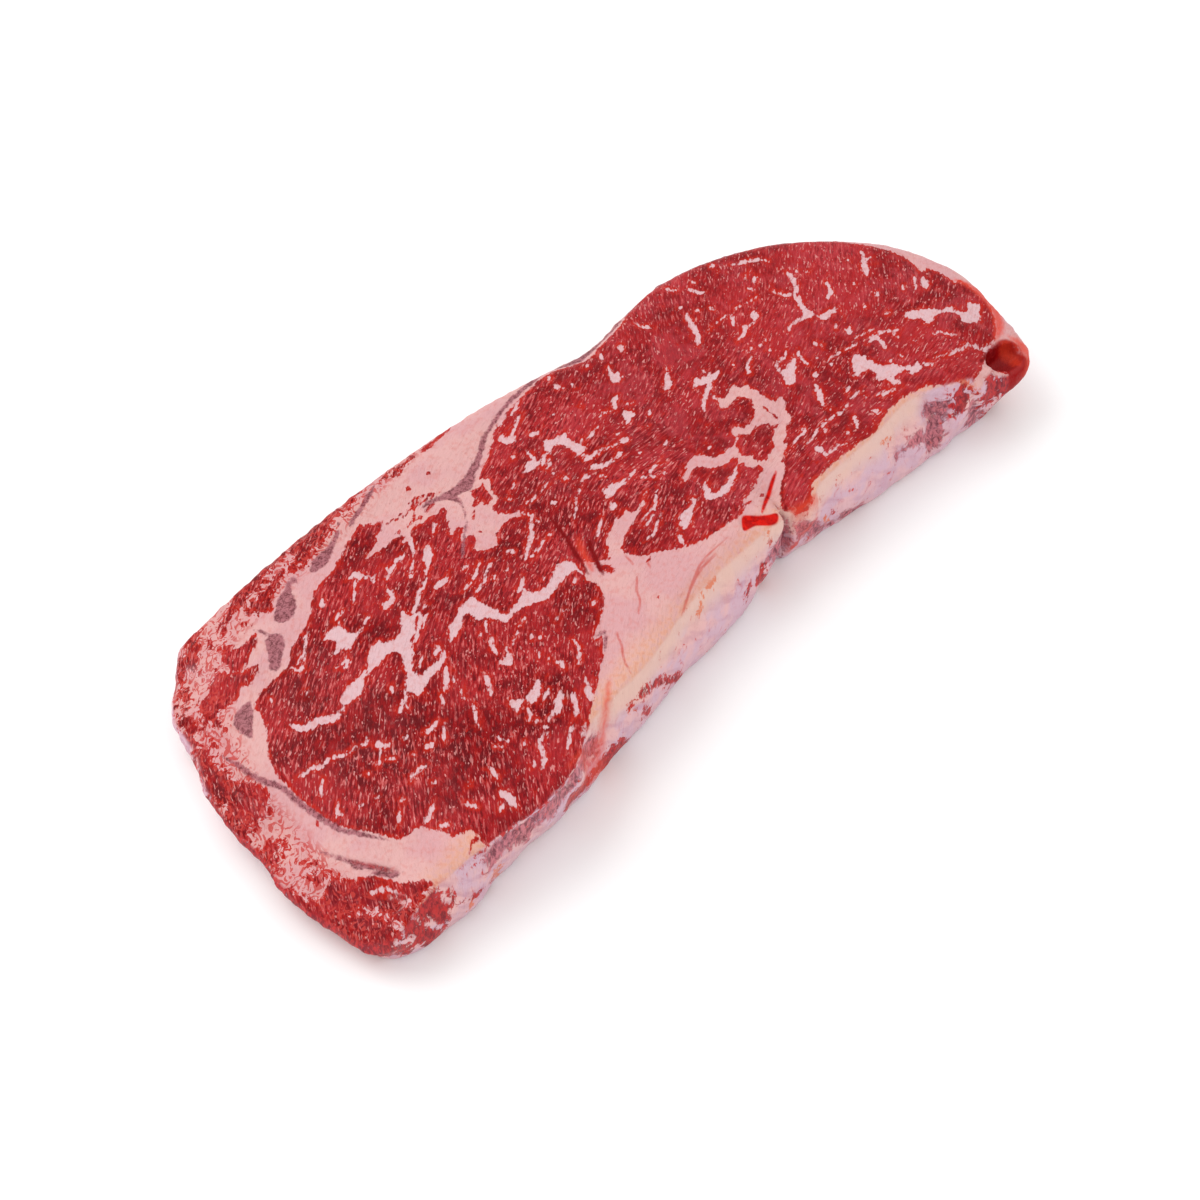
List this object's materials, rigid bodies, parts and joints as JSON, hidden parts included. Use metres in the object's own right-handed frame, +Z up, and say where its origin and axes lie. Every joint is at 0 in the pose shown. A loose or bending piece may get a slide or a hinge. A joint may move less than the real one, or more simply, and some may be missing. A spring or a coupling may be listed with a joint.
{
  "type": "raw sirloin steak",
  "caption": "Raw boneless sirloin steak with fine marbling, a fat-covered long edge, a notch between two lobes and a thin fatty tail, lying flat.",
  "frame": {"origin": "centre of the bounding box in plan, on the flat lower face", "axes": "+Z up; +X along the steak from the thin fatty tail to the thick lobe; +Y from the fat-covered edge with the notch to the plain long edge"},
  "size_m": [0.2426, 0.098, 0.0271],
  "materials": {
    "raw_meat": "moist red meat with pale pink fat"
  },
  "bodies": {
    "root": {"steak": "raw_meat"}
  },
  "joints": []
}
